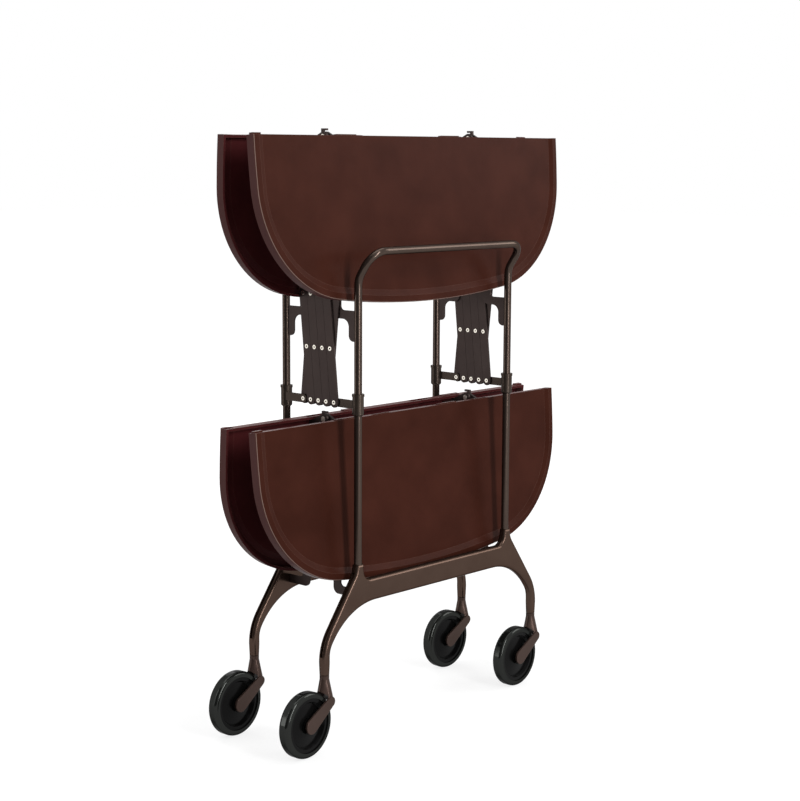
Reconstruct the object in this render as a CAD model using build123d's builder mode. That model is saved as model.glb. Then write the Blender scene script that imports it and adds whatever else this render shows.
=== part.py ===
from build123d import *
from math import asin, atan2, cos, degrees, hypot, radians, sin, sqrt
import os

# A folding serving trolley, stored folded: two end frames on swivel casters, joined by an upper and
# a lower tray of two hinged leaves each, and by a lazy tongs of flat bars on each side.
# X runs along the trays, -Y is the front, Z is up. The origin is on the floor, midway between the
# frames. All lengths are in millimetres and all angles in degrees.

# Tray leaf: a D-shaped moulded shell, straight on the hinge side
LEAF_HALF_LENGTH = 348.0
LEAF_DEPTH = 254.5
LEAF_SIDE_RADIUS = 1465.0
LEAF_CORNER_RADIUS = 177.0
LEAF_FRONT_RADIUS = 1465.0
RIM_HEIGHT = 15.0
SHELL = 4.0
EDGE_ROUND = 2.5
RECESS = 3.0
BORDER = 10.5
SLOPE = 8.5
UNDER_BORDER = 13.0
TONGUE_LENGTH = 42.0
TONGUE_HEIGHT = 1.8
TONGUE_DEPTH = 7.0
TONGUE_CENTRES = (-157.0, 78.0)
NUB_LENGTH = 16.0
NUB_HEIGHT = 2.6
NUB_END_GAP = 1.5
SOCKET_PLAY = 0.5

# Folded stance of the leaves
FOLD_TILT = 4.2
EDGE_SPREAD = 38.6
LEAF_GAP = 0.8

# Outer leaf pivots
PIVOT_INSET = 38.0
PIVOT_SPREAD = 33.5
PIVOT_RISE = 23.1
SWING_CLEARANCE = 2.6
PIVOT_PIN_RADIUS = 3.0
PIVOT_HEAD_RADIUS = 4.5
PIVOT_HEAD = 1.0
LUG_THICKNESS = 4.5
LUG_RADIUS = 7.5
LUG_FOOT = 34.0
SHAFT_PLAY = 0.08

# Central hinges
HINGE_X = 167.0
HINGE_PLATE = 4.6
HINGE_PLAY = 0.2
HINGE_EYE_RADIUS = 8.0
HINGE_FOOT_START = 9.0
HINGE_FOOT_LENGTH = 27.0
HINGE_FOOT_WIDTH = 26.0
HINGE_FOOT_THICKNESS = 2.2
HOOK_HEIGHT = 12.5
HOOK_STEM = 4.0
HOOK_LIP = 3.0
HOOK_REACH = 6.5
HINGE_RIVET_RADIUS = 2.5
HINGE_RIVET_HEAD_RADIUS = 4.2
HINGE_RIVET_HEAD = 1.0
SCREW_HEAD_RADIUS = 3.4
SCREW_HEAD = 1.8
SCREW_RADIUS = 1.8
SCREW_SINK = 2.2
SCREW_INSET = 5.0
SCREW_TAPER = 20

# End frame tube: posts and handle
TUBE_RADIUS = 6.0
TUBE_WALL = 1.2
POST_X = 175.5
HANDLE_BEND_RISE = 6.1
HANDLE_RISE = 42.7
HANDLE_REACH = 29.0
HANDLE_CORNER = 28.0
HANDLE_BEND = 30.0
POST_SOCKET = 38.0

# Plates and layers of the side mechanism, counted outwards from the plate on the post
PLATE = 2.5
LAYER_GAP = 0.3
UPPER_ARM_CLEARANCE = 6.0
LOWER_ARM_CLEARANCE = 3.0
ARM_HEIGHT = 13.0
PRONG_RADIUS = 7.5
PRONG_CORNER = 7.0
PRONG_TOP_FILLET = 6.0
PRONG_FOOT_RADIUS = 10.0
TAB_REACH = 18.5
TAB_LENGTH = 33.0
TAB_FILLET = 12.0
TAB_END_RADIUS = 9.0

# Lazy tongs
TONG_PITCH = 16.5
TONG_HEIGHT = 161.8
TONG_RISE = 27.6
TONG_DROP = 18.7
BAR_SIDE_GAP = 0.5
RIVET_RADIUS = 2.1
RIVET_BORE_RADIUS = 1.4
RIVET_HEAD_RADIUS = 3.3
RIVET_HEAD = 0.8
RIVET_PLAY = 0.1

# Collars
COLLAR_RADIUS = 8.75
COLLAR_HEIGHT = 33.0
COLLAR_LIP = 0.8
COLLAR_LIP_HEIGHT = 4.0
COLLAR_CHAMFER = 2.0
COLLAR_PLAY = 0.1
COLLAR_ARM_HEIGHT = 13.0

# Cast base
STEM_X = 247.5
STEM_DIAMETER = 14.6
STEM_CLEARANCE = 17.0
FOOT_LENGTH = 18.0
BEAM_RISE = 130.7
BEAM_HEIGHT = 35.1
SPIKE_RISE = 25.8
SPIKE_HALF_WIDTH = 7.0
SPIKE_FOOT_OFFSET = 10.0
SPIKE_FOOT_FILLET = 15.0
SHOULDER_OFFSET = 10.2
SHOULDER_DROP = 15.7
SHOULDER_FILLET = 30.0
KNEE_RISE = 44.6
KNEE_FILLET = 80.0
CALF_RISE = 36.7
CALF_FILLET = 33.0
THIGH_X = 199.0
THIGH_FILLET = 113.0
CAST_EDGE_ROUND = 5.5
CHANNEL_WIDTH = 5.6
CHANNEL_DEPTH = 3.0
CHANNEL_FOOT_RISE = 27.0
CHANNEL_TOP_DROP = 12.0
CHANNEL_TOP_X = 6.0

# Swivel casters
WHEEL_RADIUS = 50.0
WHEEL_WIDTH = 19.0
TYRE_THICKNESS = 8.6
TYRE_SHOULDER = 5.5
RIM_THICKNESS = 5.7
RIM_WIDTH = 15.0
WEB_OUTER_HALF = 3.0
WEB_INNER_HALF = 5.5
HUB_RADIUS = 13.0
HUB_BOSS_RADIUS = 9.5
HUB_BOSS = 2.5
HUB_WIDTH = 21.0
HUB_TEETH = 22
HUB_TOOTH = 0.9
TRAIL_INSET = 7.0
SWIVEL_GAP = 1.0
SLEEVE_LENGTH = 5.5
CROWN_DROP = 33.0
CROWN_ROUND = 4.0
CROWN_INSET = 0.4
CROWN_FRONT = 7.5
CROWN_CHEEK = 6.0
CROWN_NOSE = 16.0
CROWN_NOSE_WIDTH = 10.0
FORK_ARM = 3.5
FORK_ARM_ROUND = 0.8
FORK_TOP_RADIUS = 7.8
FORK_END_RADIUS = 12.0
FORK_CLEARANCE = 1.0
WHEEL_CLEARANCE = 3.3
SPIGOT_RADIUS = 4.0
SPIGOT_LENGTH = 24.0
AXLE_RADIUS = 3.0

# The angle at which each caster stands, from trailing straight towards -X
CASTER_TURNS = {"front_left": 3.5, "front_right": 1.5, "rear_left": 3.0, "rear_right": 0}

# One overrun serves every cut that has to pass a surface
OVERRUN = 5.0

# Where the leaf's arcs meet: centres in leaf coordinates, x along the straight edge and y up the leaf
SIDE_CENTRE = Vector(LEAF_HALF_LENGTH - LEAF_SIDE_RADIUS, 0)
FRONT_CENTRE = Vector(0, LEAF_FRONT_RADIUS - LEAF_DEPTH)
TO_SIDE = LEAF_SIDE_RADIUS - LEAF_CORNER_RADIUS
TO_FRONT = LEAF_FRONT_RADIUS - LEAF_CORNER_RADIUS
CENTRES_APART = (FRONT_CENTRE - SIDE_CENTRE).length
ALONG = (TO_SIDE**2 - TO_FRONT**2 + CENTRES_APART**2) / (2 * CENTRES_APART)
ACROSS = sqrt(TO_SIDE**2 - ALONG**2)
TOWARDS_FRONT = (FRONT_CENTRE - SIDE_CENTRE).normalized()
CORNER_CENTRE = SIDE_CENTRE + TOWARDS_FRONT * ALONG + TOWARDS_FRONT.rotate(Axis.Z, -90) * ACROSS

# Pivots in leaf coordinates: along, from the straight edge down the leaf, and in, from the top face
TILT = radians(FOLD_TILT)
HINGE_ALONG = -LEAF_GAP / 2
HINGE_IN = (EDGE_SPREAD + HINGE_ALONG * sin(TILT)) / cos(TILT)
PIVOT_ALONG = LEAF_DEPTH - PIVOT_INSET
PIVOT_IN = (EDGE_SPREAD - PIVOT_SPREAD + PIVOT_ALONG * sin(TILT)) / cos(TILT)

# The base, built up from the wheels
STEM_FOOT_Z = 2 * WHEEL_RADIUS + STEM_CLEARANCE
BEAM_TOP_Z = STEM_FOOT_Z + BEAM_RISE
BEAM_BOTTOM_Z = BEAM_TOP_Z - BEAM_HEIGHT
SPIKE_TIP_Z = BEAM_TOP_Z + SPIKE_RISE
KNEE_Z = STEM_FOOT_Z + KNEE_RISE
CALF_Z = STEM_FOOT_Z + CALF_RISE
ANKLE_Z = STEM_FOOT_Z + FOOT_LENGTH
CHANNEL_FOOT_Z = STEM_FOOT_Z + CHANNEL_FOOT_RISE

# The folded trolley, built up from the beam of its base: the lower tray, the tongs and the upper tray
HINGE_DROP = HINGE_ALONG * cos(TILT) + HINGE_IN * sin(TILT)
PIVOT_DROP = PIVOT_ALONG * cos(TILT) + PIVOT_IN * sin(TILT)
LOWER_PIVOT_Z = BEAM_TOP_Z + PIVOT_RISE
LOWER_EDGE_Z = LOWER_PIVOT_Z + PIVOT_DROP
LOWER_HINGE_Z = LOWER_EDGE_Z - HINGE_DROP
TONG_BOTTOM_Z = LOWER_EDGE_Z + TONG_RISE
TONG_MIDDLE_Z = TONG_BOTTOM_Z + TONG_HEIGHT / 2
TONG_TOP_Z = TONG_BOTTOM_Z + TONG_HEIGHT
UPPER_PIVOT_Z = TONG_TOP_Z + TONG_DROP
UPPER_EDGE_Z = UPPER_PIVOT_Z + PIVOT_DROP
UPPER_HINGE_Z = UPPER_EDGE_Z - HINGE_DROP
HANDLE_BEND_Z = UPPER_PIVOT_Z + HANDLE_BEND_RISE
HANDLE_Z = HANDLE_BEND_Z + HANDLE_RISE

# The leaf's end at the posts swings about its outer pivot, just inside the posts
LEAF_END_AT_POST = LEAF_DEPTH - LEAF_FRONT_RADIUS + sqrt(LEAF_FRONT_RADIUS**2 - POST_X**2)
SWING_RADIUS = hypot(LEAF_END_AT_POST - PIVOT_ALONG, PIVOT_IN)
POST_Y = PIVOT_SPREAD + SWING_RADIUS + SWING_CLEARANCE + TUBE_RADIUS
STEM_Y = POST_Y

# Layers: the plate on the post, then the inner and the outer bars of the tongs
PLATE_X = POST_X - PLATE / 2
INNER_X = PLATE_X + PLATE + LAYER_GAP
OUTER_X = INNER_X + PLATE + LAYER_GAP
OUTER_FACE_X = OUTER_X + PLATE
LUG_X = PLATE_X - LAYER_GAP - LUG_THICKNESS

# Tongs: the bars, and how they lean folded and open
TONG_END_Y = 2 * TONG_PITCH
BAR_LENGTH = hypot(TONG_PITCH, TONG_HEIGHT)
BAR_LEAN = degrees(atan2(TONG_PITCH, TONG_HEIGHT))
BAR_WIDTH = TONG_PITCH - BAR_SIDE_GAP
OPEN_TRAVEL = PIVOT_ALONG - HINGE_ALONG - PIVOT_SPREAD
OPEN_LEAN = degrees(asin((TONG_END_Y + OPEN_TRAVEL) / 2 / BAR_LENGTH))

# Pivots of the tongs' front half: their shares of the half width in y, and of the height from its middle
PIVOT_SHARES = {
    "top_front": (-1, 1 / 2),
    "top_next": (-1 / 2, 1 / 2),
    "top_middle": (0, 1 / 2),
    "cross_front": (-3 / 4, 0),
    "cross_next": (-1 / 4, 0),
    "foot_front": (-1, -1 / 2),
    "foot_next": (-1 / 2, -1 / 2),
    "foot_middle": (0, -1 / 2),
}
# The bars of the front half by their pivots, from the top down
BARS = {
    "1": ("top_front", "cross_front", "foot_next"),
    "2": ("top_next", "cross_front", "foot_front"),
    "3": ("top_next", "cross_next", "foot_middle"),
    "4": ("top_middle", "cross_next", "foot_next"),
}
# These bars lie in the outer layer on the left side; on the right side the layers are exchanged
LEFT_OUTER_BARS = ("2", "4")
# The rivets that are fast in each bar, and turn in what else they pass
RIVETS = {
    "1": ("top_front", "cross_front", "foot_next"),
    "2": ("top_next", "foot_front"),
    "3": ("foot_middle",),
    "4": ("top_middle", "cross_next"),
}

# Casters
TYRE_INNER_RADIUS = WHEEL_RADIUS - TYRE_THICKNESS
RIM_INNER_RADIUS = TYRE_INNER_RADIUS - RIM_THICKNESS
CASTER_TRAIL = WHEEL_RADIUS - TRAIL_INSET
SLEEVE_TOP_Z = STEM_FOOT_Z - SWIVEL_GAP
SLEEVE_FOOT_Z = SLEEVE_TOP_Z - SLEEVE_LENGTH
CROWN_FOOT_Z = SLEEVE_FOOT_Z - CROWN_DROP
FORK_GAP = HUB_WIDTH + 2 * FORK_CLEARANCE
FORK_WIDTH = FORK_GAP + 2 * FORK_ARM


def leaf_plane(edge_z):
    """The top face of a folded front leaf: x along the straight edge, y up the leaf, z out of the face."""
    return Plane(origin=(0, -EDGE_SPREAD, edge_z), x_dir=(1, 0, 0), z_dir=(0, -cos(TILT), sin(TILT)))


def section_plane(x):
    """A cut across the front upper leaf at x: first down the leaf, then in from its top face."""
    return Plane(
        origin=(x, -EDGE_SPREAD, UPPER_EDGE_Z), x_dir=(0, -sin(TILT), -cos(TILT)), z_dir=(1, 0, 0)
    )


def arc(centre, radius, start, end):
    """Part of a circle between two directions."""
    CenterArc((centre.X, centre.Y), radius, start, end - start)


def leaf_outline(inset, edge=0.0):
    """The leaf's D, drawn inset inside its arcs, with its straight side edge below the leaf's own."""
    to_side = degrees(atan2(CORNER_CENTRE.Y - SIDE_CENTRE.Y, CORNER_CENTRE.X - SIDE_CENTRE.X))
    to_front = degrees(atan2(CORNER_CENTRE.Y - FRONT_CENTRE.Y, CORNER_CENTRE.X - FRONT_CENTRE.X))
    side_start = -degrees(asin(edge / (LEAF_SIDE_RADIUS - inset)))
    end_x = SIDE_CENTRE.X + (LEAF_SIDE_RADIUS - inset) * cos(radians(side_start))
    with BuildSketch() as outline:
        with BuildLine():
            arc(SIDE_CENTRE, LEAF_SIDE_RADIUS - inset, side_start, to_side)
            arc(CORNER_CENTRE, LEAF_CORNER_RADIUS - inset, to_side, to_front)
            arc(FRONT_CENTRE, LEAF_FRONT_RADIUS - inset, to_front, -90)
            mirror(about=Plane.YZ)
            Line((-end_x, -edge), (end_x, -edge))
        make_face()
    return outline.sketch


def hinge_side(x_sign):
    """Whether the front leaf's plate on this side is the hooked, outer one, and its lower x."""
    hooked = x_sign > 0
    low = HINGE_X + HINGE_PLAY if hooked else HINGE_X - HINGE_PLAY - HINGE_PLATE
    return hooked, low if x_sign > 0 else -low - HINGE_PLATE


def screw_places():
    """Centres of a leaf's four hinge screws, in leaf coordinates."""
    rows = (HINGE_FOOT_START + SCREW_INSET, HINGE_FOOT_START + HINGE_FOOT_LENGTH - SCREW_INSET)
    places = []
    for x_sign in (-1, 1):
        low = hinge_side(x_sign)[1]
        inner = low + HINGE_PLATE / 2 - x_sign * (HINGE_FOOT_WIDTH - SCREW_INSET - HINGE_PLATE / 2)
        places += [(inner, -row) for row in rows]
    return places


def tray_leaf():
    """One leaf, in the place of the front upper one."""
    face = leaf_plane(UPPER_EDGE_Z)
    under = SHELL + RECESS
    with BuildPart() as leaf:
        with BuildSketch(face):
            add(leaf_outline(0))
        extrude(amount=-RIM_HEIGHT)
        top = leaf.faces().sort_by(Axis(origin=(0, 0, 0), direction=face.z_dir))[-1]
        fillet(top.edges().filter_by(GeomType.CIRCLE), EDGE_ROUND)
        # the recessed middle of the top face, open at the straight edge
        with BuildSketch(face):
            add(leaf_outline(BORDER, -OVERRUN))
        with BuildSketch(face.offset(-RECESS)):
            add(leaf_outline(BORDER + SLOPE, -OVERRUN))
        loft(mode=Mode.SUBTRACT)
        # the hollow underside, and the middle panel in it
        with BuildSketch(face.offset(-RIM_HEIGHT)):
            add(leaf_outline(SHELL, SHELL))
        extrude(amount=RIM_HEIGHT - SHELL, mode=Mode.SUBTRACT)
        with BuildSketch(face.offset(-SHELL)):
            add(leaf_outline(UNDER_BORDER, SHELL / 2))
        with BuildSketch(face.offset(-under)):
            add(leaf_outline(UNDER_BORDER + SLOPE, SHELL / 2))
        loft()
        # tongues and a nub on the straight edge, and the sockets that take the other leaf's
        pads = [(centre, TONGUE_LENGTH, TONGUE_HEIGHT) for centre in TONGUE_CENTRES]
        pads.append((-LEAF_HALF_LENGTH + NUB_END_GAP + NUB_LENGTH / 2, NUB_LENGTH, NUB_HEIGHT))
        for centre, length, height in pads:
            with BuildSketch(face.offset(-SHELL)):
                with Locations((centre, 0)):
                    Rectangle(length, 2 * height)
            extrude(amount=-TONGUE_DEPTH)
            with BuildSketch(face.offset(-SHELL + SOCKET_PLAY)):
                with Locations((-centre, 0)):
                    Rectangle(length + 2 * SOCKET_PLAY, 2 * (height + SOCKET_PLAY))
            extrude(amount=-TONGUE_DEPTH - 2 * SOCKET_PLAY, mode=Mode.SUBTRACT)
        # two lugs for the outer pivots
        for x in (-LUG_X - LUG_THICKNESS, LUG_X):
            with BuildSketch(section_plane(x)):
                with Locations((PIVOT_ALONG, PIVOT_IN)):
                    Circle(LUG_RADIUS)
                with Locations((PIVOT_ALONG, SHELL + RECESS / 2)):
                    Rectangle(LUG_FOOT, SHELL)
                make_hull()
                with Locations((PIVOT_ALONG, PIVOT_IN)):
                    Circle(PIVOT_PIN_RADIUS, mode=Mode.SUBTRACT)
            extrude(amount=LUG_THICKNESS)
        # blind holes for the screws of the hinge plates
        with BuildSketch(face.offset(-under)):
            with Locations(*screw_places()):
                Circle(SCREW_RADIUS)
        extrude(amount=SCREW_SINK, mode=Mode.SUBTRACT)
    return leaf.part


def hinge_plates():
    """The two central hinge plates of the front upper leaf: a round one and one with a stop hook."""
    face = leaf_plane(UPPER_EDGE_Z)
    middle = HINGE_FOOT_START + HINGE_FOOT_LENGTH / 2
    with BuildPart() as plates:
        for x_sign in (-1, 1):
            hooked, low = hinge_side(x_sign)
            with BuildSketch(section_plane(low)):
                with Locations((HINGE_ALONG, HINGE_IN)):
                    Circle(HINGE_EYE_RADIUS)
                with Locations((middle, SHELL + RECESS + HINGE_FOOT_THICKNESS / 2)):
                    Rectangle(HINGE_FOOT_LENGTH, HINGE_FOOT_THICKNESS)
                make_hull()
            extrude(amount=HINGE_PLATE)
            # the foot, flat on the panel
            with BuildSketch(face.offset(-SHELL - RECESS)):
                centre = low + HINGE_PLATE / 2 - x_sign * (HINGE_FOOT_WIDTH - HINGE_PLATE) / 2
                with Locations((centre, -middle)):
                    Rectangle(HINGE_FOOT_WIDTH, HINGE_FOOT_LENGTH)
            extrude(amount=-HINGE_FOOT_THICKNESS)
            if hooked:
                lip_z = UPPER_HINGE_Z + HOOK_HEIGHT
                with BuildSketch(Plane.YZ.offset(low)):
                    with BuildLine():
                        Polyline(
                            (-HOOK_STEM, UPPER_HINGE_Z),
                            (-HOOK_STEM, lip_z),
                            (HOOK_REACH, lip_z),
                            (HOOK_REACH, lip_z - HOOK_LIP),
                            (0, lip_z - HOOK_LIP),
                            (0, UPPER_HINGE_Z),
                            close=True,
                        )
                    make_face()
                extrude(amount=HINGE_PLATE)
        # the rivet is fast in the round plate and turns in the hooked one
        for x_sign, bore in ((-1, HINGE_RIVET_RADIUS), (1, HINGE_RIVET_RADIUS + SHAFT_PLAY)):
            with BuildSketch(Plane.YZ.offset(hinge_side(x_sign)[1])):
                with Locations((0, UPPER_HINGE_Z)):
                    Circle(bore)
            extrude(amount=HINGE_PLATE, mode=Mode.SUBTRACT)
        with BuildSketch(face):
            with Locations(*screw_places()):
                Circle(SCREW_RADIUS + SHAFT_PLAY)
        extrude(amount=-RIM_HEIGHT, mode=Mode.SUBTRACT)
    return plates.part


def discs(side, y, z, steps, bore=0.0):
    """Discs in one line along X, each from one distance to another from the middle plane."""
    for low, high, radius in steps:
        with Locations((side * (low + high) / 2, y, z)):
            Cylinder(radius, high - low, rotation=(0, 90, 0))
    if bore > 0:
        low = min(step[0] for step in steps)
        high = max(step[1] for step in steps)
        with Locations((side * (low + high) / 2, y, z)):
            Cylinder(bore, high - low, rotation=(0, 90, 0), mode=Mode.SUBTRACT)


def headed(low, high, radius, head_radius, head, play):
    """A shank between two heads that stand a play off the plates they hold."""
    low -= play
    high += play
    return [(low - head, low, head_radius), (low, high, radius), (high, high + head, head_radius)]


def leaf_fasteners():
    """The front upper leaf's pivot pins, the rivet of its round hinge plate, and its hinge screws."""
    pin = headed(LUG_X, PLATE_X + PLATE, PIVOT_PIN_RADIUS, PIVOT_HEAD_RADIUS, PIVOT_HEAD, RIVET_PLAY)
    reach = HINGE_PLAY + HINGE_PLATE
    rivet = headed(
        HINGE_X - reach,
        HINGE_X + reach,
        HINGE_RIVET_RADIUS,
        HINGE_RIVET_HEAD_RADIUS,
        HINGE_RIVET_HEAD,
        RIVET_PLAY,
    )
    foot = leaf_plane(UPPER_EDGE_Z).offset(-SHELL - RECESS - HINGE_FOOT_THICKNESS)
    with BuildPart() as fasteners:
        discs(-1, -PIVOT_SPREAD, UPPER_PIVOT_Z, pin)
        discs(1, -PIVOT_SPREAD, UPPER_PIVOT_Z, pin)
        discs(-1, 0, UPPER_HINGE_Z, rivet)
        with BuildSketch(foot):
            with Locations(*screw_places()):
                Circle(SCREW_RADIUS)
        extrude(amount=HINGE_FOOT_THICKNESS + SCREW_SINK)
        with BuildSketch(foot):
            with Locations(*screw_places()):
                Circle(SCREW_HEAD_RADIUS)
        extrude(amount=-SCREW_HEAD, taper=SCREW_TAPER)
    return fasteners.part


def frame_tube():
    """The front tube: two posts and the handle between them, leaning out over the front."""
    foot_z = SPIKE_TIP_Z - POST_SOCKET
    grip_y = -POST_Y - HANDLE_REACH
    with BuildPart() as tube:
        with BuildLine() as path:
            FilletPolyline(
                (-POST_X, -POST_Y, foot_z),
                (-POST_X, -POST_Y, HANDLE_BEND_Z),
                (-POST_X, grip_y, HANDLE_Z),
                (POST_X, grip_y, HANDLE_Z),
                (POST_X, -POST_Y, HANDLE_BEND_Z),
                (POST_X, -POST_Y, foot_z),
                radius=(HANDLE_BEND, HANDLE_CORNER, HANDLE_CORNER, HANDLE_BEND),
            )
        with BuildSketch(Plane(origin=path.line @ 0, z_dir=path.line % 0)):
            Circle(TUBE_RADIUS)
            Circle(TUBE_RADIUS - TUBE_WALL, mode=Mode.SUBTRACT)
        sweep(path=path.line)
    return tube.part


def bracket_outline(pivot_z, arm_top, foot, foot_radii):
    """A bracket from its arm up the prong to the leaf pivot, then down and round its own foot."""
    inner = -PIVOT_SPREAD + PRONG_RADIUS
    outer = -PIVOT_SPREAD - PRONG_RADIUS
    points = [
        (outer, arm_top),
        (outer, pivot_z + PRONG_RADIUS),
        (inner, pivot_z + PRONG_RADIUS),
        (inner, arm_top - ARM_HEIGHT),
    ]
    radii = [PRONG_TOP_FILLET, PRONG_CORNER, PRONG_CORNER, PRONG_FOOT_RADIUS]
    with BuildSketch() as outline:
        with BuildLine():
            FilletPolyline(*points, *foot, radius=radii + foot_radii, close=True)
        make_face()
        with Locations((-PIVOT_SPREAD, pivot_z)):
            Circle(PIVOT_PIN_RADIUS + SHAFT_PLAY, mode=Mode.SUBTRACT)
    return outline.sketch


def upper_brackets():
    """Two plates on the front posts: a tab down the post, an arm, and a prong with two pivots."""
    arm_top = UPPER_PIVOT_Z - SWING_RADIUS - UPPER_ARM_CLEARANCE
    arm_foot = arm_top - ARM_HEIGHT
    tab_foot = arm_foot - TAB_LENGTH
    tab_y = -POST_Y + TAB_REACH
    foot = [(tab_y, arm_foot), (tab_y, tab_foot), (-POST_Y, tab_foot), (-POST_Y, arm_top)]
    with BuildPart() as brackets:
        for x in (-PLATE_X - PLATE, PLATE_X):
            with BuildSketch(Plane.YZ.offset(x)):
                add(bracket_outline(UPPER_PIVOT_Z, arm_top, foot, [TAB_FILLET, TAB_END_RADIUS, 0, 0]))
                with Locations((-TONG_END_Y, TONG_TOP_Z)):
                    Circle(RIVET_RADIUS + SHAFT_PLAY, mode=Mode.SUBTRACT)
            extrude(amount=PLATE)
        with BuildSketch(Plane.XY.offset(tab_foot - OVERRUN)):
            with Locations((-POST_X, -POST_Y), (POST_X, -POST_Y)):
                Circle(TUBE_RADIUS)
        extrude(amount=arm_top - tab_foot + 2 * OVERRUN, mode=Mode.SUBTRACT)
    return brackets.part


def lower_brackets():
    """Two J-shaped plates on the back of the front base, under the lower leaf and up to its pivots."""
    arm_top = LOWER_PIVOT_Z - SWING_RADIUS - LOWER_ARM_CLEARANCE
    back = -STEM_Y + STEM_DIAMETER / 2
    foot = [(back, arm_top - ARM_HEIGHT), (back, arm_top)]
    with BuildPart() as brackets:
        for x in (-PLATE_X - PLATE, PLATE_X):
            with BuildSketch(Plane.YZ.offset(x)):
                add(bracket_outline(LOWER_PIVOT_Z, arm_top, foot, [0, 0]))
            extrude(amount=PLATE)
    return brackets.part


def base_outline():
    """The base seen from the front: post sockets, the beam between them, and the legs to their ankles."""
    half = STEM_DIAMETER / 2
    with BuildSketch() as outline:
        with BuildLine():
            FilletPolyline(
                (0, BEAM_TOP_Z),
                (POST_X - SPIKE_FOOT_OFFSET, BEAM_TOP_Z),
                (POST_X - SPIKE_HALF_WIDTH, SPIKE_TIP_Z),
                radius=SPIKE_FOOT_FILLET,
            )
            Line((POST_X - SPIKE_HALF_WIDTH, SPIKE_TIP_Z), (POST_X + SPIKE_HALF_WIDTH, SPIKE_TIP_Z))
            FilletPolyline(
                (POST_X + SPIKE_HALF_WIDTH, SPIKE_TIP_Z),
                (POST_X + SHOULDER_OFFSET, SPIKE_TIP_Z - SHOULDER_DROP),
                (STEM_X + half, KNEE_Z),
                (STEM_X + half, ANKLE_Z),
                radius=(SHOULDER_FILLET, KNEE_FILLET),
            )
            Line((STEM_X + half, ANKLE_Z), (STEM_X - half, ANKLE_Z))
            FilletPolyline(
                (STEM_X - half, ANKLE_Z),
                (STEM_X - half, CALF_Z),
                (THIGH_X, BEAM_BOTTOM_Z),
                (0, BEAM_BOTTOM_Z),
                radius=(CALF_FILLET, THIGH_FILLET),
            )
            mirror(about=Plane.YZ)
        make_face()
    return outline.sketch


def cast_base():
    """The front base: one casting with post sockets above and bores for the casters below."""
    half = STEM_DIAMETER / 2
    profile = base_outline()
    inside = offset(profile, amount=-CHANNEL_DEPTH, mode=Mode.PRIVATE)
    zone = [
        (POST_X + CHANNEL_TOP_X, SPIKE_TIP_Z - CHANNEL_TOP_DROP),
        (STEM_X, KNEE_Z),
        (STEM_X, CHANNEL_FOOT_Z),
        (STEM_X + STEM_DIAMETER, CHANNEL_FOOT_Z),
        (STEM_X + STEM_DIAMETER, SPIKE_TIP_Z - CHANNEL_TOP_DROP),
    ]
    with BuildPart() as base:
        with BuildSketch(Plane.XZ.offset(STEM_Y - half)):
            add(profile)
        extrude(amount=STEM_DIAMETER)
        flats = base.faces().filter_by(Axis.Y)
        rims = flats.edges().filter_by(lambda edge: edge.center().Z > ANKLE_Z + CAST_EDGE_ROUND)
        fillet(rims, CAST_EDGE_ROUND)
        # the legs turn round towards the casters
        for x in (-STEM_X, STEM_X):
            with BuildSketch(Plane(origin=(x, -STEM_Y, ANKLE_Z))):
                RectangleRounded(STEM_DIAMETER, STEM_DIAMETER, CAST_EDGE_ROUND)
            with BuildSketch(Plane(origin=(x, -STEM_Y, STEM_FOOT_Z))):
                Circle(half)
            loft()
        # a channel down the outer side of each leg
        with BuildSketch(Plane.XZ.offset(STEM_Y - CHANNEL_WIDTH / 2)):
            for side in (-1, 1):
                with BuildLine():
                    Polyline(*[(side * x, z) for x, z in zone], close=True)
                make_face()
            add(inside, mode=Mode.SUBTRACT)
        extrude(amount=CHANNEL_WIDTH, mode=Mode.SUBTRACT)
        # sockets for the posts, and bores for the caster spigots
        with BuildSketch(Plane.XY.offset(SPIKE_TIP_Z - POST_SOCKET)):
            with Locations((-POST_X, -POST_Y), (POST_X, -POST_Y)):
                Circle(TUBE_RADIUS)
        extrude(amount=POST_SOCKET + OVERRUN, mode=Mode.SUBTRACT)
        with BuildSketch(Plane.XY.offset(STEM_FOOT_Z)):
            with Locations((-STEM_X, -STEM_Y), (STEM_X, -STEM_Y)):
                Circle(SPIGOT_RADIUS + SHAFT_PLAY)
        extrude(amount=SPIGOT_LENGTH, mode=Mode.SUBTRACT)
    return base.part


def pivot(name):
    """A pivot of the tongs in the folded trolley, as y and z."""
    across, up = PIVOT_SHARES[name]
    return across * TONG_END_Y, TONG_MIDDLE_Z + up * TONG_HEIGHT


def bar_x(name, side):
    """The inner face of a bar on one side, as a distance from the middle plane."""
    outer = (name in LEFT_OUTER_BARS) == (side < 0)
    return OUTER_X if outer else INNER_X


def bar_pair(name):
    """One bar of the front half on each side of the trolley."""
    top, crossing, foot = BARS[name]
    lean = BAR_LEAN if pivot(top) < pivot(foot) else -BAR_LEAN
    with BuildPart() as bars:
        for side in (-1, 1):
            low = bar_x(name, side)
            with BuildSketch(Plane.YZ.offset(low if side > 0 else -low - PLATE)):
                with Locations(pivot(crossing)):
                    SlotCenterToCenter(BAR_LENGTH, BAR_WIDTH, rotation=90 + lean)
                for place in BARS[name]:
                    play = 0 if place in RIVETS[name] else SHAFT_PLAY
                    with Locations(pivot(place)):
                        Circle(RIVET_RADIUS + play, mode=Mode.SUBTRACT)
            extrude(amount=PLATE)
    return bars.part


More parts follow.
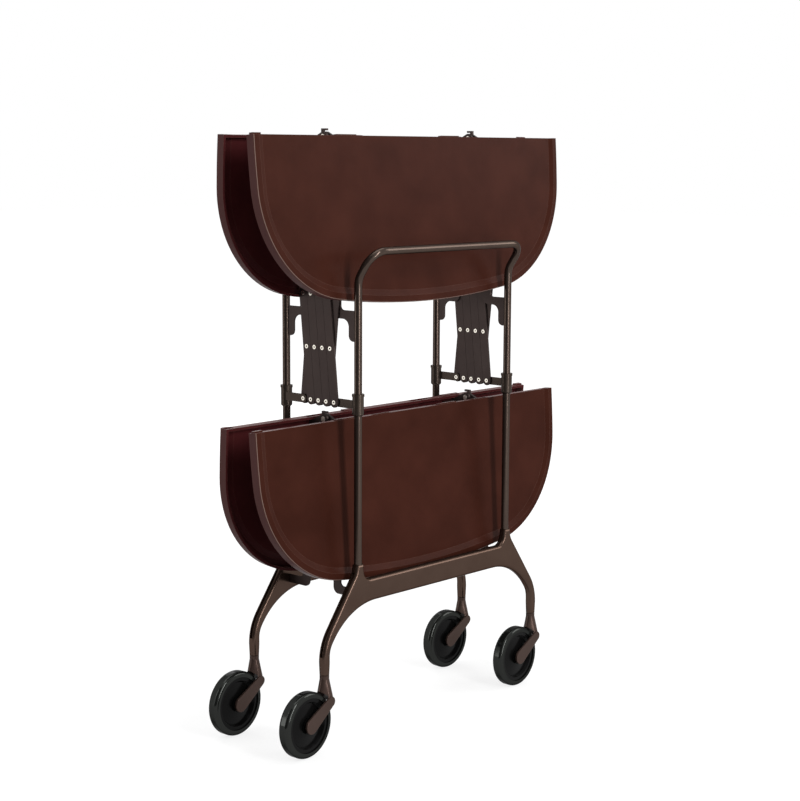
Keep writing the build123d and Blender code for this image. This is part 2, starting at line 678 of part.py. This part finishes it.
def rivet_steps(place, low):
    """The discs of one rivet that is fast in the bar whose inner face is at low."""
    first, last = INNER_X, OUTER_FACE_X
    if place == "top_front":
        first, last = PLATE_X, low + PLATE
    if place in ("top_middle", "foot_middle"):
        first, last = low, low + PLATE
    steps = headed(first, last, RIVET_RADIUS, RIVET_HEAD_RADIUS, RIVET_HEAD, RIVET_PLAY)
    if place == "top_front" and low > INNER_X:
        # a spacer where the inner layer is empty
        steps.append((INNER_X, INNER_X + PLATE, RIVET_HEAD_RADIUS))
    if place in ("top_middle", "foot_middle"):
        # half a rivet, with no head between the layers: the other half is in the rear half's bar
        del steps[0 if low > INNER_X else -1]
    return steps


def rivet_pair(name):
    """The tubular rivets that are fast in one bar of the front half, on each side."""
    with BuildPart() as rivets:
        for side in (-1, 1):
            for place in RIVETS[name]:
                discs(side, *pivot(place), rivet_steps(place, bar_x(name, side)), RIVET_BORE_RADIUS)
    return rivets.part


def collars():
    """The two collars on the front posts, each with an arm to the foot of the tongs."""
    foot_z = TONG_BOTTOM_Z - COLLAR_HEIGHT / 2
    with BuildPart() as pair:
        for side, low in ((-1, INNER_X), (1, OUTER_X)):
            with BuildSketch(Plane.XY.offset(foot_z)):
                with Locations((side * POST_X, -POST_Y)):
                    Circle(COLLAR_RADIUS)
            extrude(amount=COLLAR_HEIGHT)
            with BuildSketch(Plane.XY.offset(foot_z + COLLAR_HEIGHT - COLLAR_LIP_HEIGHT)):
                with Locations((side * POST_X, -POST_Y)):
                    Circle(COLLAR_RADIUS + COLLAR_LIP)
            extrude(amount=COLLAR_LIP_HEIGHT)
            with BuildSketch(Plane.YZ.offset(low if side > 0 else -low - PLATE)):
                with Locations((-TONG_END_Y, TONG_BOTTOM_Z)):
                    Circle(COLLAR_ARM_HEIGHT / 2)
                with Locations(((-TONG_END_Y - POST_Y) / 2, TONG_BOTTOM_Z)):
                    Rectangle(POST_Y - TONG_END_Y, COLLAR_ARM_HEIGHT)
                with Locations((-TONG_END_Y, TONG_BOTTOM_Z)):
                    Circle(RIVET_RADIUS + SHAFT_PLAY, mode=Mode.SUBTRACT)
            extrude(amount=PLATE)
        rims = pair.edges().filter_by(GeomType.CIRCLE).filter_by_position(Axis.Z, foot_z, foot_z)
        chamfer(rims, COLLAR_CHAMFER)
        with BuildSketch(Plane.XY.offset(foot_z - OVERRUN)):
            with Locations((-POST_X, -POST_Y), (POST_X, -POST_Y)):
                Circle(TUBE_RADIUS + COLLAR_PLAY)
        extrude(amount=COLLAR_HEIGHT + 2 * OVERRUN, mode=Mode.SUBTRACT)
    return pair.part


def crown_foot():
    """The foot of a fork's crown: square towards +X, and drawn out to a blunt nose over the wheel."""
    side = FORK_WIDTH / 2 - CROWN_INSET - CROWN_ROUND
    nose = CROWN_NOSE_WIDTH / 2 - CROWN_ROUND
    with BuildSketch() as foot:
        for sign in (-1, 1):
            with Locations(
                (CROWN_FRONT - CROWN_ROUND, sign * side),
                (CROWN_ROUND - CROWN_CHEEK, sign * side),
                (CROWN_ROUND - CROWN_NOSE, sign * nose),
            ):
                Circle(CROWN_ROUND)
        make_hull()
    return foot.sketch


def fork_arms():
    """The fork's arms, flat on either side of the wheel and wider towards the axle."""
    with BuildPart() as arms:
        for side in (-1, 1):
            with BuildSketch(Plane.XZ.offset(-side * FORK_GAP / 2)):
                with Locations((0, CROWN_FOOT_Z)):
                    Circle(FORK_TOP_RADIUS)
                with Locations((-CASTER_TRAIL, WHEEL_RADIUS)):
                    Circle(FORK_END_RADIUS)
                make_hull()
            extrude(amount=-side * FORK_ARM)
        outer = arms.faces().filter_by(Axis.Y).filter_by(lambda face: abs(face.center().Y) > FORK_GAP / 2)
        fillet(outer.edges(), FORK_ARM_ROUND)
    return arms.part


def caster_fork():
    """A fork with its spigot, on the swivel axis, the wheel trailing towards -X."""
    with BuildPart() as fork:
        with BuildSketch(Plane.XY.offset(SLEEVE_FOOT_Z)):
            Circle(STEM_DIAMETER / 2)
        extrude(amount=SLEEVE_LENGTH)
        with BuildSketch(Plane.XY.offset(SLEEVE_TOP_Z)):
            Circle(SPIGOT_RADIUS)
        extrude(amount=SPIGOT_LENGTH)
        # the crown spreads over the wheel
        with BuildSketch(Plane.XY.offset(SLEEVE_FOOT_Z)):
            Circle(STEM_DIAMETER / 2)
        with BuildSketch(Plane.XY.offset(CROWN_FOOT_Z)):
            add(crown_foot())
        loft()
        add(fork_arms())
        with BuildSketch(Plane.XZ.offset(-FORK_GAP / 2)):
            with Locations((-CASTER_TRAIL, WHEEL_RADIUS)):
                Circle(WHEEL_RADIUS + WHEEL_CLEARANCE)
        extrude(amount=FORK_GAP, mode=Mode.SUBTRACT)
        with BuildSketch(Plane.XZ.offset(-FORK_WIDTH)):
            with Locations((-CASTER_TRAIL, WHEEL_RADIUS)):
                Circle(AXLE_RADIUS)
        extrude(amount=2 * FORK_WIDTH, mode=Mode.SUBTRACT)
    return fork.part


def caster_axle():
    """An axle, its ends flush with the fork's arms."""
    with BuildPart() as axle:
        with Locations((-CASTER_TRAIL, 0, WHEEL_RADIUS)):
            Cylinder(AXLE_RADIUS, FORK_WIDTH, rotation=(90, 0, 0))
    return axle.part


def caster_wheel():
    """A dished wheel with a toothed hub."""
    with BuildPart() as wheel:
        with BuildSketch(Plane.XY):
            with BuildLine():
                Polyline(
                    (0, WEB_INNER_HALF),
                    (HUB_RADIUS, WEB_INNER_HALF),
                    (RIM_INNER_RADIUS - WEB_OUTER_HALF, WEB_OUTER_HALF),
                    (RIM_INNER_RADIUS, RIM_WIDTH / 2),
                    (TYRE_INNER_RADIUS, RIM_WIDTH / 2),
                    (TYRE_INNER_RADIUS, -RIM_WIDTH / 2),
                    (RIM_INNER_RADIUS, -RIM_WIDTH / 2),
                    (RIM_INNER_RADIUS - WEB_OUTER_HALF, -WEB_OUTER_HALF),
                    (HUB_RADIUS, -WEB_INNER_HALF),
                    (0, -WEB_INNER_HALF),
                    close=True,
                )
            make_face()
        revolve(axis=Axis.Y)
        ring = HUB_WIDTH - 2 * HUB_BOSS
        with BuildSketch(Plane.XZ.offset(-ring / 2)):
            Circle(HUB_RADIUS)
            with PolarLocations(HUB_RADIUS, HUB_TEETH):
                Circle(HUB_TOOTH, mode=Mode.SUBTRACT)
        extrude(amount=ring)
        with BuildSketch(Plane.XZ.offset(-HUB_WIDTH / 2)):
            Circle(HUB_BOSS_RADIUS)
        extrude(amount=HUB_WIDTH)
        with BuildSketch(Plane.XZ.offset(-HUB_WIDTH)):
            Circle(AXLE_RADIUS + SHAFT_PLAY)
        extrude(amount=2 * HUB_WIDTH, mode=Mode.SUBTRACT)
    return wheel.part.moved(Location((-CASTER_TRAIL, 0, WHEEL_RADIUS)))


def caster_tyre():
    """A tyre with a round tread, on its wheel."""
    middle = (WHEEL_RADIUS + TYRE_INNER_RADIUS) / 2
    with BuildPart() as tyre:
        with BuildSketch(Plane.XY) as section:
            with Locations((middle, 0)):
                Rectangle(WHEEL_RADIUS - TYRE_INNER_RADIUS, WHEEL_WIDTH)
            fillet(section.vertices().group_by(Axis.X)[-1], TYRE_SHOULDER)
        revolve(axis=Axis.Y)
    return tyre.part.moved(Location((-CASTER_TRAIL, 0, WHEEL_RADIUS)))


def save(name, shape):
    """Label a piece and write it."""
    shape.label = name
    export_step(shape, f"parts/{name}.step")
    print(f"{name:28s} {len(shape.solids())} solids {shape.volume:12.1f}")


def half_turn(shape):
    """The same piece on the other frame: turned half round about the middle."""
    return shape.rotate(Axis.Z, 180)


os.makedirs("parts", exist_ok=True)
print(f"central pivots at z {UPPER_HINGE_Z:.2f} and {LOWER_HINGE_Z:.2f}")
print(f"outer pivots at z {UPPER_PIVOT_Z:.2f} and {LOWER_PIVOT_Z:.2f}, posts at y {POST_Y:.2f}")
print(f"tongs from z {TONG_BOTTOM_Z:.2f} to {TONG_TOP_Z:.2f}, lean {BAR_LEAN:.4f} to {OPEN_LEAN:.4f}")

front = {
    "tube": frame_tube(),
    "base": cast_base(),
    "upper_brackets": upper_brackets(),
    "lower_brackets": lower_brackets(),
    "collars": collars(),
}
for name in BARS:
    front[f"bars_{name}"] = bar_pair(name)
    front[f"rivets_{name}"] = rivet_pair(name)
for name, shape in front.items():
    save(f"front_{name}", shape)
    save(f"rear_{name}", half_turn(shape))

drop = Location((0, 0, LOWER_EDGE_Z - UPPER_EDGE_Z))
for name, shape in (
    ("leaf", tray_leaf()),
    ("hinge_plates", hinge_plates()),
    ("fasteners", leaf_fasteners()),
):
    save(f"upper_front_{name}", shape)
    save(f"upper_rear_{name}", half_turn(shape))
    save(f"lower_front_{name}", shape.moved(drop))
    save(f"lower_rear_{name}", half_turn(shape.moved(drop)))

corners = (
    ("front_left", -STEM_X, -STEM_Y),
    ("front_right", STEM_X, -STEM_Y),
    ("rear_left", -STEM_X, STEM_Y),
    ("rear_right", STEM_X, STEM_Y),
)
for name, shape in (
    ("fork", caster_fork()),
    ("axle", caster_axle()),
    ("wheel", caster_wheel()),
    ("tyre", caster_tyre()),
):
    for corner, x, y in corners:
        save(f"{corner}_{name}", shape.moved(Location((x, y, 0), (0, 0, CASTER_TURNS[corner]))))
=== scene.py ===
# %% [markdown]
# # A folding serving trolley, stored folded
# Two end frames of dark bronze tube stand on four casters. Two trays, each made of two D-shaped leaves,
# hang folded between them, and flat bars riveted into lazy tongs keep the frames parallel.
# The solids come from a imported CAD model, so this script adds what a camera needs: finishes, light, a
# floor and a view. Everything is in metres, in the same places as the CAD.

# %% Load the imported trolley
import math

import bpy
from mathutils import Matrix, Vector

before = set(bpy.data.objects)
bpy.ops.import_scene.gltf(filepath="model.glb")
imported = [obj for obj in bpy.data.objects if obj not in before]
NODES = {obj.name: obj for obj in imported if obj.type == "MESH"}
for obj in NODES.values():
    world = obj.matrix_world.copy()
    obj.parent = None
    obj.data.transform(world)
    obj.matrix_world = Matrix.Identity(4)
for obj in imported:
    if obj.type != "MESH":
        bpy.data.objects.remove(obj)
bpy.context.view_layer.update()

# %% [markdown]
# ## Naming the pieces by what they are made of
# The real trolley has few finishes: moulded leaves, lacquered tube, lacquered castings, flat stamped
# plates, nickelled rivets and black wheels. The node names say which piece is which, so the pieces are
# gathered by the end of their names. A list typed out by hand would do too, but it would have to be
# mended each time a piece is added.

# %% Gather the pieces of each finish
ENDINGS = {
    "leaf": ("_leaf",),
    "tube": ("_tube",),
    "casting": ("_base",),
    "fork": ("_fork", "_axle"),
    "plate": ("_brackets", "_hinge_plates", "_bars_1", "_bars_2", "_bars_3", "_bars_4"),
    "collar": ("_collars",),
    "nickel": ("_rivets_1", "_rivets_2", "_rivets_3", "_rivets_4", "_fasteners"),
    "wheel": ("_wheel",),
    "tyre": ("_tyre",),
}
pieces = {
    finish: [node for name, node in sorted(NODES.items()) if name.endswith(endings)]
    for finish, endings in ENDINGS.items()
}
for finish, members in pieces.items():
    print(f"{finish:8s}", len(members))
assert sum(len(members) for members in pieces.values()) == len(NODES)

# %% [markdown]
# ## Finishes as node materials
# Every finish here is a lacquer, a moulding, a rubber or a plain metal, so one Principled shader each is
# enough. What makes a plain colour look real is a little unevenness: a broad cloudiness in the colour
# and a fine grain in the gloss. Noise in object coordinates gives both, needs no UV map, and stays on
# the piece when the trolley unfolds. An image texture would give the same, but it would need a file.


# %% Helpers that build a finish
# the Mix node's colour sockets, by their places: its float sockets have the same names
COLOUR_A, COLOUR_B, COLOUR_OUT = 6, 7, 2
GRAIN_DETAIL = 4


def new_finish(name, roughness, metallic=0.0, specular=0.5):
    """A Principled material, and its tree and shader for the nodes that a finish adds."""
    material = bpy.data.materials.new(name)
    material.use_nodes = True
    tree = material.node_tree
    shader = tree.nodes["Principled BSDF"]
    shader.inputs["Roughness"].default_value = roughness
    shader.inputs["Metallic"].default_value = metallic
    shader.inputs["Specular IOR Level"].default_value = specular
    return material, tree, shader


def noise(tree, scale, detail):
    """A noise in object coordinates, around 0.5."""
    place = tree.nodes.new("ShaderNodeTexCoord")
    cloud = tree.nodes.new("ShaderNodeTexNoise")
    cloud.inputs["Scale"].default_value = scale
    cloud.inputs["Detail"].default_value = detail
    tree.links.new(place.outputs["Object"], cloud.inputs["Vector"])
    return cloud.outputs["Fac"]


def mix_colours(tree, factor, under, over):
    """One colour turning into another as a factor goes from 0 to 1. Each is a socket or three numbers."""
    mix = tree.nodes.new("ShaderNodeMix")
    mix.data_type = "RGBA"
    tree.links.new(factor, mix.inputs["Factor"])
    for socket, colour in ((COLOUR_A, under), (COLOUR_B, over)):
        if isinstance(colour, tuple):
            mix.inputs[socket].default_value = (*colour, 1)
        else:
            tree.links.new(colour, mix.inputs[socket])
    return mix.outputs[COLOUR_OUT]


def spread(tree, value, low, high, to_low=0.0, to_high=1.0):
    """A value stretched from one range to another, and clamped."""
    ranger = tree.nodes.new("ShaderNodeMapRange")
    ends = {"From Min": low, "From Max": high, "To Min": to_low, "To Max": to_high}
    for socket, number in ends.items():
        ranger.inputs[socket].default_value = number
    tree.links.new(value, ranger.inputs["Value"])
    return ranger.outputs["Result"]


def band(tree, value, start, full, fade, end):
    """1 where a value lies between full and fade, falling to 0 at start and at end."""
    both = tree.nodes.new("ShaderNodeMath")
    both.operation = "MULTIPLY"
    tree.links.new(spread(tree, value, start, full), both.inputs[0])
    tree.links.new(spread(tree, value, end, fade), both.inputs[1])
    return both.outputs[0]


def grain(tree, shader, height, scale):
    """A fine unevenness of the surface, its height in metres."""
    bump = tree.nodes.new("ShaderNodeBump")
    bump.inputs["Distance"].default_value = height
    tree.links.new(noise(tree, scale, GRAIN_DETAIL), bump.inputs["Height"])
    tree.links.new(bump.outputs["Normal"], shader.inputs["Normal"])


def dress(members, material):
    """Give pieces one finish."""
    for member in members:
        member.data.materials.clear()
        member.data.materials.append(material)
    print(f"{material.name:16s} on {len(members)} pieces")


# %% [markdown]
# ## The tray leaves
# The leaves are moulded in a dark red-brown, satin on the top face and redder on the hollow side. The two
# sides of one moulding could be two materials split by face, but a imported node's mesh isn't to be
# changed. The direction that a point faced at rest tells the sides apart instead: the Texture
# Coordinate node's Normal is kept in the object's own space, so it doesn't change as a leaf swings.
# Bands of the same direction paint light in: a paler rim that stands in for its grazing sheen, and a pale
# crest along its rounded corner that is a painted highlight. The fine pale lines along the slope round
# the recessed middle are painted highlights too: a Bevel node, which bends the normal near a corner only,
# finds the corners by comparing its normal with the plain normal.

# %% The leaf's two-sided finish, with painted highlights
LEAF_TILT = math.radians(4.2)
LEAF_ROUGHNESS = 0.34
LEAF_SPECULAR = 0.02
LEAF_GRAIN_HEIGHT = 0.00004
LEAF_GRAIN_SCALE = 260.0

# the cloudiness, and a dark and a light colour for each side
LEAF_CLOUD_SCALE = 16.0
LEAF_CLOUD_DETAIL = 9
LEAF_CLOUD_RANGE = (0.32, 0.68)
LEAF_TOP = ((0.0378, 0.0105, 0.0064), (0.0516, 0.0149, 0.0094))
LEAF_HOLLOW = ((0.060, 0.0120, 0.0130), (0.080, 0.0165, 0.0175))
# the rim's paler colour is painted light that stands in for its grazing sheen
LEAF_RIM_PAINTED_SHEEN = (0.132, 0.060, 0.057)
# a painted highlight along the rim's rounded corner
LEAF_CREST_PAINTED_HIGHLIGHT = (0.25, 0.165, 0.14)
# painted highlights along the blunt corners round the recessed middle
LEAF_LINE_PAINTED_HIGHLIGHT = (0.125, 0.066, 0.052)

# where each colour lies: 1 looks straight out of the top face, 0 to the side and -1 into the hollow
TOP_RANGE = (-0.55, -0.25)
RIM_BAND = (-0.35, -0.15, 0.25, 0.50)
CREST_BAND = (0.50, 0.68, 0.84, 0.94)

# how alike the bent normal and the plain one are along a blunt corner
LINE_RADIUS = 0.0007
LINE_SAMPLES = 8
LINE_BAND = (0.90, 0.96, 0.988, 0.998)


def corner_line(tree):
    """1 along the blunt corners of a piece, and 0 on its faces and at its sharp corners."""
    rounded = tree.nodes.new("ShaderNodeBevel")
    rounded.samples = LINE_SAMPLES
    rounded.inputs["Radius"].default_value = LINE_RADIUS
    plain = tree.nodes.new("ShaderNodeNewGeometry")
    likeness = tree.nodes.new("ShaderNodeVectorMath")
    likeness.operation = "DOT_PRODUCT"
    tree.links.new(rounded.outputs["Normal"], likeness.inputs[0])
    tree.links.new(plain.outputs["Normal"], likeness.inputs[1])
    return band(tree, likeness.outputs["Value"], *LINE_BAND)


def leaf_finish(name, outward):
    """Satin moulding whose top face looks outward: -1 for along -Y in front, 1 for along +Y behind."""
    material, tree, shader = new_finish(name, LEAF_ROUGHNESS, specular=LEAF_SPECULAR)
    cloud = spread(tree, noise(tree, LEAF_CLOUD_SCALE, LEAF_CLOUD_DETAIL), *LEAF_CLOUD_RANGE)
    facing = tree.nodes.new("ShaderNodeTexCoord")
    towards = tree.nodes.new("ShaderNodeVectorMath")
    towards.operation = "DOT_PRODUCT"
    towards.inputs[1].default_value = (0, outward * math.cos(LEAF_TILT), math.sin(LEAF_TILT))
    tree.links.new(facing.outputs["Normal"], towards.inputs[0])
    direction = towards.outputs["Value"]
    hollow = mix_colours(tree, cloud, *LEAF_HOLLOW)
    top = mix_colours(tree, cloud, *LEAF_TOP)
    colour = mix_colours(tree, spread(tree, direction, *TOP_RANGE), hollow, top)
    # painted sheen: the rim band turns paler
    colour = mix_colours(tree, band(tree, direction, *RIM_BAND), colour, LEAF_RIM_PAINTED_SHEEN)
    # painted highlight on the crest of the rounded corner
    colour = mix_colours(tree, band(tree, direction, *CREST_BAND), colour, LEAF_CREST_PAINTED_HIGHLIGHT)
    # painted highlights along the corner lines that the Bevel node finds
    colour = mix_colours(tree, corner_line(tree), colour, LEAF_LINE_PAINTED_HIGHLIGHT)
    tree.links.new(colour, shader.inputs["Base Color"])
    grain(tree, shader, LEAF_GRAIN_HEIGHT, LEAF_GRAIN_SCALE)
    return material


front_leaves = [node for node in pieces["leaf"] if "_front_" in node.name]
rear_leaves = [node for node in pieces["leaf"] if "_rear_" in node.name]
dress(front_leaves, leaf_finish("leaf_front", -1))
dress(rear_leaves, leaf_finish("leaf_rear", 1))

# %% [markdown]
# ## Bronze lacquer on the tube, the castings and the plates
# The tube is drawn steel under a glossy dark lacquer, so it shows long, clean streaks of light. The
# castings are the same colour over a rougher skin, and the casters' forks, the collars and the stamped
# plates are duller still. A lacquer with metal flakes shines in its own colour, which a Principled
# shader gives by being part metallic. Its tint is kept dark, so that the edges don't turn white. One
# recipe with a few numbers changed gives all the pieces, as one paint shop would.

# %% The lacquers
LACQUER_SPECULAR = 0.2
LACQUER_EDGE = (0.30, 0.27, 0.25, 1)
LACQUER_CLOUD_SCALE = 22.0
LACQUER_CLOUD_DETAIL = 4
LACQUER_CLOUD_RANGE = (0.3, 0.7)
LACQUER_GRAIN_SCALE = 420.0

# the finish's name, its dark and its light colour, roughness, share of metal and height of skin
LACQUERS = {
    "tube": ("bronze_tube", (0.058, 0.041, 0.034), (0.067, 0.049, 0.040), 0.145, 0.72, 0.000003),
    "casting": ("bronze_casting", (0.062, 0.039, 0.030), (0.074, 0.048, 0.037), 0.22, 0.80, 0.000006),
    "fork": ("bronze_fork", (0.056, 0.036, 0.030), (0.067, 0.044, 0.037), 0.28, 0.40, 0.000006),
    "plate": ("stamped_plate", (0.042, 0.030, 0.028), (0.052, 0.038, 0.035), 0.36, 0.50, 0.00001),
    "collar": ("collar_brown", (0.046, 0.034, 0.028), (0.055, 0.042, 0.034), 0.26, 0.60, 0.00001),
}


def lacquer(name, dark, light, roughness, metallic, skin):
    """A dark lacquer with a cloudy colour; skin is the height of its unevenness in metres."""
    material, tree, shader = new_finish(name, roughness, metallic, LACQUER_SPECULAR)
    shader.inputs["Specular Tint"].default_value = LACQUER_EDGE
    cloud = spread(tree, noise(tree, LACQUER_CLOUD_SCALE, LACQUER_CLOUD_DETAIL), *LACQUER_CLOUD_RANGE)
    tree.links.new(mix_colours(tree, cloud, dark, light), shader.inputs["Base Color"])
    grain(tree, shader, skin, LACQUER_GRAIN_SCALE)
    return material


for finish, recipe in LACQUERS.items():
    dress(pieces[finish], lacquer(*recipe))

# %% [markdown]
# ## Nickelled rivets
# The tongs turn on tubular rivets with bright rolled rims and dark middles. The bores are real, but
# nickel mirrors so much light into them that they look filled. So the Ambient Occlusion node, which tells
# how shut in a point is, darkens the nickel there with painted shade.

# %% The rivets' nickel
NICKEL_ROUGHNESS = 0.28
NICKEL_BRIGHT = (0.74, 0.69, 0.61)
NICKEL_PAINTED_SHADE = (0.012, 0.010, 0.009)
NICKEL_GRAIN_HEIGHT = 0.00001
NICKEL_GRAIN_SCALE = 900.0
BORE_REACH = 0.004
BORE_SAMPLES = 8
BORE_RANGE = (0.45, 0.85)

nickel, nickel_tree, nickel_shader = new_finish("nickel", NICKEL_ROUGHNESS, metallic=1.0)
shade = nickel_tree.nodes.new("ShaderNodeAmbientOcclusion")
shade.only_local = True
shade.samples = BORE_SAMPLES
shade.inputs["Distance"].default_value = BORE_REACH
openness = spread(nickel_tree, shade.outputs["AO"], *BORE_RANGE)
# painted shade: the nickel turns dark where the bores are shut in
nickel_colour = mix_colours(nickel_tree, openness, NICKEL_PAINTED_SHADE, NICKEL_BRIGHT)
nickel_tree.links.new(nickel_colour, nickel_shader.inputs["Base Color"])
grain(nickel_tree, nickel_shader, NICKEL_GRAIN_HEIGHT, NICKEL_GRAIN_SCALE)
dress(pieces["nickel"], nickel)

# %% [markdown]
# ## Wheels and tyres
# Both are near black. The dished wheel is a dull moulding, and the tyre is a hard, shining rubber with
# a trace of green. Black is never zero: under three percent of grey still keeps its shape readable. The
# tyre borrows the lacquers' part metal and dark edge tint, so that its tread stays black where it is
# seen aslant.

# %% The blacks
WHEEL_EDGE = (1, 1, 1, 1)
TYRE_EDGE = (0.10, 0.10, 0.10, 1)

# name, colour, edge tint, roughness, share of metal, specular level, and the grain's height and scale
BLACKS = {
    "wheel": ("wheel_black", (0.0035, 0.0034, 0.0034), WHEEL_EDGE, 0.22, 0.0, 0.06, 0.000008, 300.0),
    "tyre": ("tyre_black", (0.0275, 0.0288, 0.0270), TYRE_EDGE, 0.10, 0.75, 0.2, 0.00002, 500.0),
}
for finish, (name, colour, edge, roughness, metallic, specular, height, scale) in BLACKS.items():
    black, tree, shader = new_finish(name, roughness, metallic, specular)
    shader.inputs["Base Color"].default_value = (*colour, 1)
    shader.inputs["Specular Tint"].default_value = edge
    grain(tree, shader, height, scale)
    dress(pieces[finish], black)

# %% [markdown]
# ## A white floor that keeps its shadow
# The trolley stands on a white studio floor with a faint soft shadow. A floor of pure white emission
# would lose the shadow, and one lit until it burns out would light the trolley too. So the floor is a
# plain grey surface, and a glow, seen by the camera and in reflections only, lifts it to white. The glow
# grows with the distance, so that the shadow shows only near the wheels.

# %% The floor
FLOOR_SIZE = 40.0
FLOOR_COLOUR = (0.28, 0.28, 0.28, 1)
FLOOR_ROUGHNESS = 0.9
GLOW_COLOUR = (1, 1, 1, 1)
# the glow's strength at the two distances from the middle
SHADOW_REACH = (0.7, 2.4)
FLOOR_LIFT = (0.79, 0.98)


def seen_rays(tree):
    """1 for what the camera, a reflection or a refraction sees, and 0 for what lights the scene."""
    path = tree.nodes.new("ShaderNodeLightPath")
    total = path.outputs["Is Camera Ray"]
    for output in ("Is Glossy Ray", "Is Transmission Ray"):
        adder = tree.nodes.new("ShaderNodeMath")
        adder.operation = "MAXIMUM"
        tree.links.new(total, adder.inputs[0])
        tree.links.new(path.outputs[output], adder.inputs[1])
        total = adder.outputs[0]
    return total


bpy.ops.mesh.primitive_plane_add(size=FLOOR_SIZE, location=(0, 0, 0))
floor = bpy.context.object
floor.name = "studio_floor"
floor_material, floor_tree, floor_shader = new_finish("floor_white", FLOOR_ROUGHNESS, specular=0.0)
floor_shader.inputs["Base Color"].default_value = FLOOR_COLOUR
floor_shader.inputs["Emission Color"].default_value = GLOW_COLOUR
floor_place = floor_tree.nodes.new("ShaderNodeTexCoord")
distance = floor_tree.nodes.new("ShaderNodeVectorMath")
distance.operation = "LENGTH"
floor_tree.links.new(floor_place.outputs["Object"], distance.inputs[0])
glow = spread(floor_tree, distance.outputs["Value"], *SHADOW_REACH, *FLOOR_LIFT)
lift = floor_tree.nodes.new("ShaderNodeMath")
lift.operation = "MULTIPLY"
floor_tree.links.new(seen_rays(floor_tree), lift.inputs[0])
floor_tree.links.new(glow, lift.inputs[1])
floor_tree.links.new(lift.outputs[0], floor_shader.inputs["Emission Strength"])
floor.data.materials.append(floor_material)
print("floor:", FLOOR_SIZE, "m square")

# %% [markdown]
# ## Soft studio light
# Catalogue light is a few soft boxes round the object. A tall strip in front draws the streaks on the
# posts, a fainter one behind on the left draws a second line there, and wide boxes on the right, above
# and behind light the leaves. The strips reach almost to the floor, because the camera looks down a
# little and sees in the posts what is low. The world shows white, but lights at a lower level.

# %% The world and the soft boxes
WORLD_LIGHT = 0.32
# each box's place, its width and height, and its power in watts
SOFT_BOXES = {
    "front_strip": ((-0.42, -2.5, 1.25), (0.4, 2.4), 50.0),
    "left_strip": ((-2.6, 1.6, 1.25), (0.4, 2.4), 12.0),
    "right_box": ((2.5, -2.1, 1.85), (1.5, 1.8), 42.0),
    "top_box": ((0.0, 0.2, 3.2), (2.4, 2.4), 34.0),
    "rear_box": ((1.2, 3.0, 1.9), (1.8, 1.8), 38.0),
}
AIM = Vector((0, 0, 0.5))

world = bpy.data.worlds.new("studio")
bpy.context.scene.world = world
world.use_nodes = True
background = world.node_tree.nodes["Background"]
background.inputs["Color"].default_value = (1, 1, 1, 1)
world_level = spread(world.node_tree, seen_rays(world.node_tree), 0, 1, WORLD_LIGHT, 1.0)
world.node_tree.links.new(world_level, background.inputs["Strength"])

for name, (place, size, watts) in SOFT_BOXES.items():
    lamp = bpy.data.lights.new(name, "AREA")
    lamp.shape = "RECTANGLE"
    lamp.size, lamp.size_y = size
    lamp.energy = watts
    box = bpy.data.objects.new(name, lamp)
    box.location = place
    box.rotation_euler = (AIM - Vector(place)).to_track_quat("-Z", "Y").to_euler()
    bpy.context.scene.collection.objects.link(box)
    print(f"{name:11s} {watts} W at {place}")

# %% [markdown]
# ## A dark card at the left
# In the photograph the left sides of the posts and legs are dark, because something dark stood there.
# Photographers put up a black card for this: round metal then shows a dark side, and the streak of the
# strip light looks brighter beside it. The card here is seen in reflections only, so it takes no light
# from the trolley and never stands in a picture.

# %% Put up the card
CARD_PLACE = (-1.4, -0.42, 1.0)
CARD_WIDTH = 1.85
CARD_HEIGHT = 2.0
CARD_COLOUR = (0.12, 0.12, 0.12, 1)
CARD_ROUGHNESS = 0.9

bpy.ops.mesh.primitive_plane_add(size=1, location=CARD_PLACE, rotation=(0, math.pi / 2, 0))
card = bpy.context.object
card.name = "dark_card"
card.scale = (CARD_HEIGHT, CARD_WIDTH, 1)
card.visible_camera = False
card.visible_diffuse = False
card.visible_shadow = False
card_material, card_tree, card_shader = new_finish("card_black", CARD_ROUGHNESS, specular=0.0)
card_shader.inputs["Base Color"].default_value = CARD_COLOUR
card.data.materials.append(card_material)
print("card:", CARD_WIDTH, "by", CARD_HEIGHT, "m")

# %% [markdown]
# ## The camera
# The photograph looks at the trolley's front left corner, from just under the height of its trays, with
# a long lens. Its place, direction and lens were solved from the corners of the trays, the posts and
# the wheels, whose places in the CAD are known. The lens is the focal length in pixels over the longer
# side of the picture, on Blender's 36 mm sensor.

# %% Place the camera
CAMERA_PLACE = (-2.0437, -1.8669, 0.8890)
CAMERA_YAW = 47.603
CAMERA_PITCH = -8.057
CAMERA_ROLL = 0.26
FOCAL_PIXELS = 1753.2
PICTURE_SIDE = 801
SENSOR_WIDTH = 36.0

camera_data = bpy.data.cameras.new("photo_camera")
camera_data.sensor_width = SENSOR_WIDTH
camera_data.lens = FOCAL_PIXELS / PICTURE_SIDE * camera_data.sensor_width
camera = bpy.data.objects.new("photo_camera", camera_data)
camera.location = CAMERA_PLACE
yaw, pitch, roll = (math.radians(v) for v in (CAMERA_YAW, CAMERA_PITCH, CAMERA_ROLL))
ahead = Vector((math.sin(yaw) * math.cos(pitch), math.cos(yaw) * math.cos(pitch), math.sin(pitch)))
level = ahead.to_track_quat("-Z", "Y").to_matrix().to_4x4()
camera.rotation_euler = (level @ Matrix.Rotation(roll, 4, "Z")).to_euler()
bpy.context.scene.collection.objects.link(camera)
bpy.context.scene.camera = camera
bpy.context.scene.view_settings.view_transform = "Standard"
print("lens:", round(camera_data.lens, 2), "mm")
